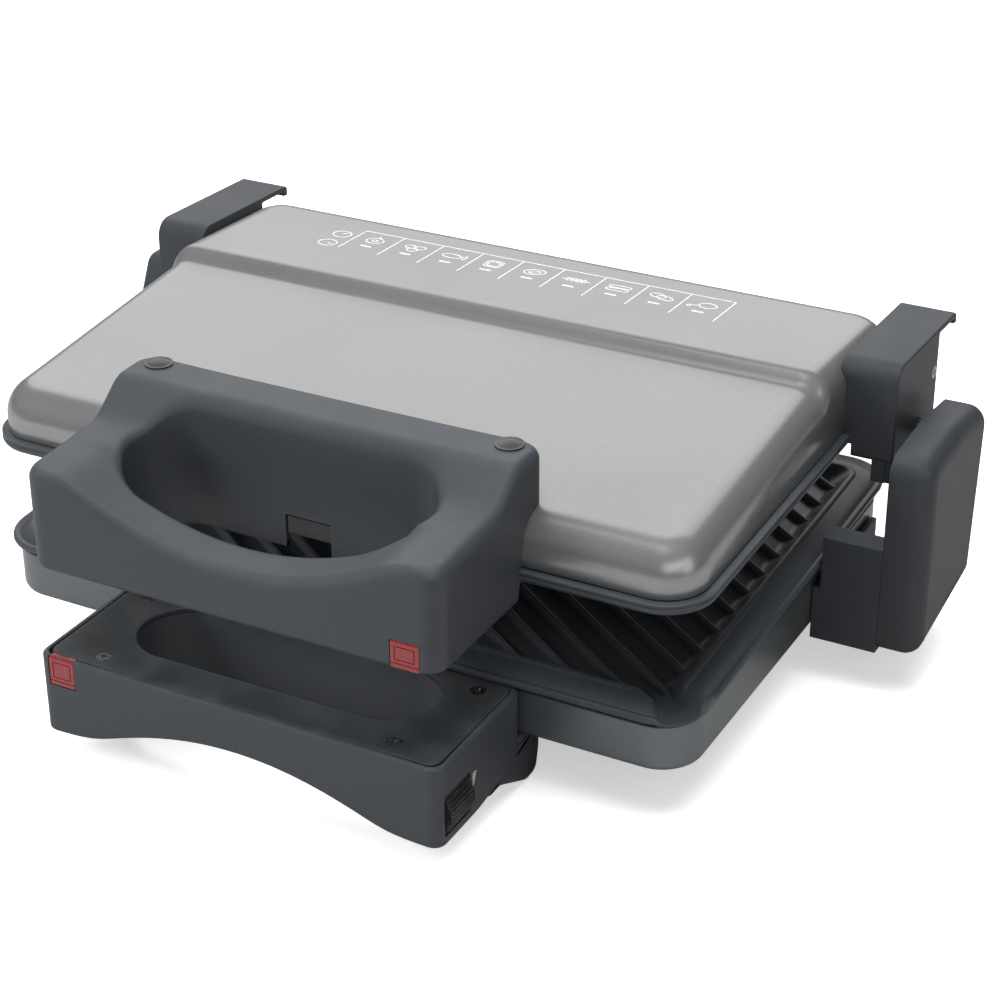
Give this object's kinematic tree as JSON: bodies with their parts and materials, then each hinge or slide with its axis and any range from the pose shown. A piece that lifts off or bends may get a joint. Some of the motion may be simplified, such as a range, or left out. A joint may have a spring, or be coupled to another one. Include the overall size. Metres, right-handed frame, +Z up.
{
  "type": "panini press",
  "caption": "Contact grill with a floating, tipping lid, ribbed plates in both halves, a loop handle on each half and a thumbwheel thermostat.",
  "frame": {"origin": "on the table, under the middle of the object's bounding box", "axes": "+Z up, +X to the user's right, +Y from the handles to the hinge at the back"},
  "size_m": [0.4152, 0.295, 0.1448],
  "materials": {
    "pan_paint": "metallic paint, satin",
    "lid_paint": "silver paint, satin",
    "non_stick": "black non-stick coating, satin",
    "shield_sheet": "bright rolled sheet",
    "heater_sheath": "heat-tinted sheath",
    "handle_plastic": "fine-grained charcoal",
    "cover_plastic": "fine-grained charcoal",
    "hinge_plastic": "fine-grained charcoal",
    "cap_plastic": "satin black",
    "dial_plastic": "satin black",
    "lamp_red": "clear red",
    "bulb_glass": "clear",
    "screw_steel": "zinc plated",
    "hinge_steel": "zinc plated",
    "slider_nylon": "natural nylon",
    "thermostat_ceramic": "ceramic",
    "sensor_copper": "bare copper",
    "foot_rubber": "matt black"
  },
  "bodies": {
    "base": {"lower_pan": "pan_paint", "lower_heat_shield": "shield_sheet", "lower_heater": "heater_sheath", "lower_plate": "non_stick", "lower_handle": "handle_plastic", "lower_handle_cover": "cover_plastic", "lower_handle_screws": "screw_steel", "lower_lamp_lens": "lamp_red", "lower_lamp_bulb": "bulb_glass", "thermostat_body": "thermostat_ceramic", "thermostat_sensor": "sensor_copper", "hinge_block_right": "hinge_plastic", "hinge_block_left": "hinge_plastic", "hinge_cover_right": "hinge_plastic", "hinge_cover_left": "hinge_plastic", "hinge_guide_right": "hinge_steel", "hinge_guide_left": "hinge_steel", "block_screws": "screw_steel", "rear_legs": "hinge_plastic", "foot_pads": "foot_rubber", "foot_screws": "screw_steel", "inlet_gland": "foot_rubber", "terminal_block": "slider_nylon"},
    "dial": {"thermostat_spindle": "hinge_steel", "thermostat_wheel": "dial_plastic"},
    "hinge_carriage": {"hinge_slider_right": "slider_nylon", "hinge_slider_left": "slider_nylon"},
    "lid": {"upper_shell": "lid_paint", "upper_heat_shield": "shield_sheet", "upper_heater": "heater_sheath", "upper_plate": "non_stick", "upper_handle": "handle_plastic", "upper_handle_cover": "cover_plastic", "upper_handle_screws": "screw_steel", "handle_bolts": "screw_steel", "handle_bolt_caps": "cap_plastic", "upper_lamp_lens": "lamp_red", "upper_lamp_bulb": "bulb_glass", "hinge_cap_right": "hinge_plastic", "hinge_cap_left": "hinge_plastic", "lid_bracket_right": "hinge_steel", "lid_bracket_left": "hinge_steel", "hinge_pin_right": "hinge_steel", "hinge_pin_left": "hinge_steel", "cap_screws": "screw_steel"},
    "lower_clip": {"lower_plate_clip": "hinge_steel"},
    "upper_clip": {"upper_plate_clip": "hinge_steel"}
  },
  "joints": [
    {"name": "lid_lift", "type": "slide", "parent": "base", "child": "hinge_carriage", "axis": [0, 0, 1], "range_m": [-0.035, 0]},
    {"name": "lid_hinge", "type": "hinge", "parent": "hinge_carriage", "child": "lid", "pos_m": [0, 0.1055, 0.099], "axis": [-1, 0, 0], "range_deg": [0, 95]},
    {"name": "dial_turn", "type": "hinge", "parent": "base", "child": "dial", "pos_m": [0.0825, -0.1315, 0.024], "axis": [0, -1, 0], "range_deg": [0, 270]},
    {"name": "lower_clip_slide", "type": "slide", "parent": "base", "child": "lower_clip", "axis": [0, -1, 0], "range_m": [0, 0.0045], "stiffness_N_per_m": 400, "springref_m": -0.002},
    {"name": "upper_clip_slide", "type": "slide", "parent": "lid", "child": "upper_clip", "axis": [0, -1, 0], "range_m": [0, 0.0045], "stiffness_N_per_m": 400, "springref_m": -0.002}
  ]
}
